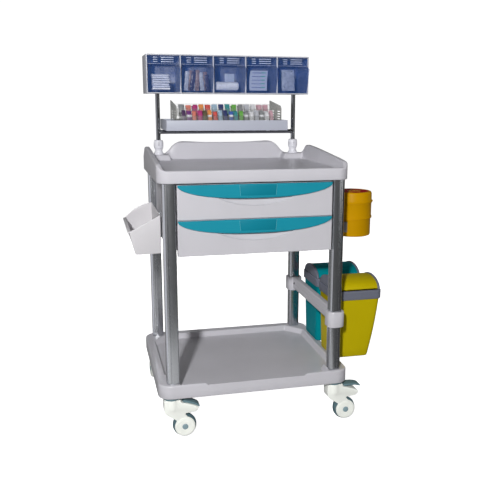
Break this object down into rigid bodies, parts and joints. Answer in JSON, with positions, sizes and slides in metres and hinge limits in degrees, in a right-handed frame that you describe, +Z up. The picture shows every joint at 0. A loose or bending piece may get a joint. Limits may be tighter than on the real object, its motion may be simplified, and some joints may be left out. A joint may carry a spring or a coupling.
{
  "type": "medication cart",
  "caption": "Wheeled ward cart with a moulded worktop, drawers, an open lower shelf, rear tilt bins over a dispenser rack, hung side bins and a sharps tub.",
  "frame": {"origin": "middle of the whole model's box, on the floor", "axes": "+X to the right of a person at the drawers, +Y to the back, +Z up"},
  "size_m": [0.876, 0.601, 1.252],
  "materials": {
    "abs": "moulded ABS, satin light grey",
    "panel": "white-grey plastic panel",
    "aluminium": "anodised extrusion, fine vertical grain",
    "teal": "teal moulded plastic",
    "steel": "zinc-coated steel",
    "chrome": "chromed tube",
    "caster_white": "off-white nylon cover",
    "caster_grey": "blue-grey nylon",
    "tyre": "grey non-marking tread",
    "socket": "white nylon",
    "tray_paint": "pale blue-grey powder coat",
    "clear_grey": "clear grey acrylic",
    "bin_white": "white moulded frame",
    "clear_blue": "transparent blue plastic",
    "waste_yellow": "yellow moulded plastic",
    "waste_teal": "teal moulded plastic",
    "rim_grey": "dark grey moulded plastic",
    "sharps_yellow": "yellow-orange moulded plastic"
  },
  "bodies": {
    "cart": {"base_tray": "abs", "worktop": "abs", "post_front_left": "aluminium", "post_front_right": "aluminium", "post_rear_left": "aluminium", "post_rear_right": "aluminium", "cabinet_side_left": "panel", "cabinet_side_right": "panel", "cabinet_back": "panel", "runner_upper_left": "steel", "runner_upper_right": "steel", "runner_lower_left": "steel", "runner_lower_right": "steel", "caster_stem_front_left": "caster_grey", "caster_stem_front_right": "caster_grey", "caster_stem_rear_left": "caster_grey", "caster_stem_rear_right": "caster_grey", "rack_frame": "chrome", "rod_socket_left": "socket", "rod_socket_right": "socket", "rack_tray": "tray_paint", "dispenser_rack": "clear_grey", "bin_frame": "bin_white", "side_bin": "panel", "side_bin_bracket": "steel", "sharps_holder": "steel", "sharps_container": "sharps_yellow", "side_rail": "abs", "rail_clamp_front": "abs", "rail_clamp_rear": "abs", "waste_body_yellow": "waste_yellow", "waste_rim_yellow": "rim_grey", "waste_body_teal": "waste_teal", "waste_rim_teal": "rim_grey"},
    "upper_drawer": {"upper_drawer": "panel", "upper_drawer_pull": "teal"},
    "lower_drawer": {"lower_drawer": "panel", "lower_drawer_pull": "teal"},
    "swivel_front_left": {"caster_fork_front_left": "caster_white", "caster_axle_front_left": "caster_grey"},
    "wheel_front_left": {"caster_wheel_front_left": "tyre"},
    "pedal_front_left": {"brake_pedal_front_left": "caster_grey"},
    "swivel_front_right": {"caster_fork_front_right": "caster_white", "caster_axle_front_right": "caster_grey"},
    "wheel_front_right": {"caster_wheel_front_right": "tyre"},
    "pedal_front_right": {"brake_pedal_front_right": "caster_grey"},
    "swivel_rear_left": {"caster_fork_rear_left": "caster_white", "caster_axle_rear_left": "caster_grey"},
    "wheel_rear_left": {"caster_wheel_rear_left": "tyre"},
    "swivel_rear_right": {"caster_fork_rear_right": "caster_white", "caster_axle_rear_right": "caster_grey"},
    "wheel_rear_right": {"caster_wheel_rear_right": "tyre"},
    "tilt_bin_1": {"tilt_bin_1": "clear_blue"},
    "tilt_bin_2": {"tilt_bin_2": "clear_blue"},
    "tilt_bin_3": {"tilt_bin_3": "clear_blue"},
    "tilt_bin_4": {"tilt_bin_4": "clear_blue"},
    "tilt_bin_5": {"tilt_bin_5": "clear_blue"},
    "sharps_lid": {"sharps_lid": "sharps_yellow"},
    "waste_lid_yellow": {"waste_lid_yellow": "waste_yellow"},
    "waste_lid_teal": {"waste_lid_teal": "waste_teal"}
  },
  "joints": [
    {"name": "upper_drawer_slide", "type": "slide", "parent": "cart", "child": "upper_drawer", "axis": [0, -1, 0], "range_m": [0, 0.34]},
    {"name": "lower_drawer_slide", "type": "slide", "parent": "cart", "child": "lower_drawer", "axis": [0, -1, 0], "range_m": [0, 0.34]},
    {"name": "caster_front_left_swivel", "type": "hinge", "parent": "cart", "child": "swivel_front_left", "pos_m": [-0.319, -0.26553, 0.137], "axis": [0, 0, 1], "continuous": true},
    {"name": "caster_front_left_roll", "type": "hinge", "parent": "swivel_front_left", "child": "wheel_front_left", "pos_m": [-0.279, -0.26553, 0.0395], "axis": [0, 1, 0], "continuous": true},
    {"name": "brake_front_left_press", "type": "hinge", "parent": "swivel_front_left", "child": "pedal_front_left", "pos_m": [-0.283, -0.26553, 0.1265], "axis": [0, -1, 0], "range_deg": [0, 17.2]},
    {"name": "caster_front_right_swivel", "type": "hinge", "parent": "cart", "child": "swivel_front_right", "pos_m": [0.243, -0.26553, 0.137], "axis": [0, 0, 1], "continuous": true},
    {"name": "caster_front_right_roll", "type": "hinge", "parent": "swivel_front_right", "child": "wheel_front_right", "pos_m": [0.283, -0.26553, 0.0395], "axis": [0, 1, 0], "continuous": true},
    {"name": "brake_front_right_press", "type": "hinge", "parent": "swivel_front_right", "child": "pedal_front_right", "pos_m": [0.279, -0.26553, 0.1265], "axis": [0, 1, 0], "range_deg": [0, 17.2]},
    {"name": "caster_rear_left_swivel", "type": "hinge", "parent": "cart", "child": "swivel_rear_left", "pos_m": [-0.319, 0.21447, 0.137], "axis": [0, 0, 1], "continuous": true},
    {"name": "caster_rear_left_roll", "type": "hinge", "parent": "swivel_rear_left", "child": "wheel_rear_left", "pos_m": [-0.32249, 0.25432, 0.0395], "axis": [-0.9962, -0.0872, 0], "continuous": true},
    {"name": "caster_rear_right_swivel", "type": "hinge", "parent": "cart", "child": "swivel_rear_right", "pos_m": [0.243, 0.21447, 0.137], "axis": [0, 0, 1], "continuous": true},
    {"name": "caster_rear_right_roll", "type": "hinge", "parent": "swivel_rear_right", "child": "wheel_rear_right", "pos_m": [0.27764, 0.23447, 0.0395], "axis": [-0.5, 0.866, 0], "continuous": true},
    {"name": "tilt_bin_1_tilt", "type": "hinge", "parent": "cart", "child": "tilt_bin_1", "pos_m": [-0.2756, 0.14347, 1.129], "axis": [1, 0, 0], "range_deg": [0, 45]},
    {"name": "tilt_bin_2_tilt", "type": "hinge", "parent": "cart", "child": "tilt_bin_2", "pos_m": [-0.1568, 0.14347, 1.129], "axis": [1, 0, 0], "range_deg": [0, 45]},
    {"name": "tilt_bin_3_tilt", "type": "hinge", "parent": "cart", "child": "tilt_bin_3", "pos_m": [-0.038, 0.14347, 1.129], "axis": [1, 0, 0], "range_deg": [0, 45]},
    {"name": "tilt_bin_4_tilt", "type": "hinge", "parent": "cart", "child": "tilt_bin_4", "pos_m": [0.0808, 0.14347, 1.129], "axis": [1, 0, 0], "range_deg": [0, 45]},
    {"name": "tilt_bin_5_tilt", "type": "hinge", "parent": "cart", "child": "tilt_bin_5", "pos_m": [0.1996, 0.14347, 1.129], "axis": [1, 0, 0], "range_deg": [0, 45]},
    {"name": "sharps_lid_hinge", "type": "hinge", "parent": "cart", "child": "sharps_lid", "pos_m": [0.4185, -0.12553, 0.7485], "axis": [0, 1, 0], "range_deg": [0, 105]},
    {"name": "waste_lid_yellow_swing", "type": "hinge", "parent": "cart", "child": "waste_lid_yellow", "pos_m": [0.348, -0.11953, 0.458], "axis": [1, 0, 0], "range_deg": [-60, 60], "stiffness_Nm_per_rad": 0.08},
    {"name": "waste_lid_teal_swing", "type": "hinge", "parent": "cart", "child": "waste_lid_teal", "pos_m": [0.348, 0.06847, 0.458], "axis": [1, 0, 0], "range_deg": [-60, 60], "stiffness_Nm_per_rad": 0.08}
  ]
}
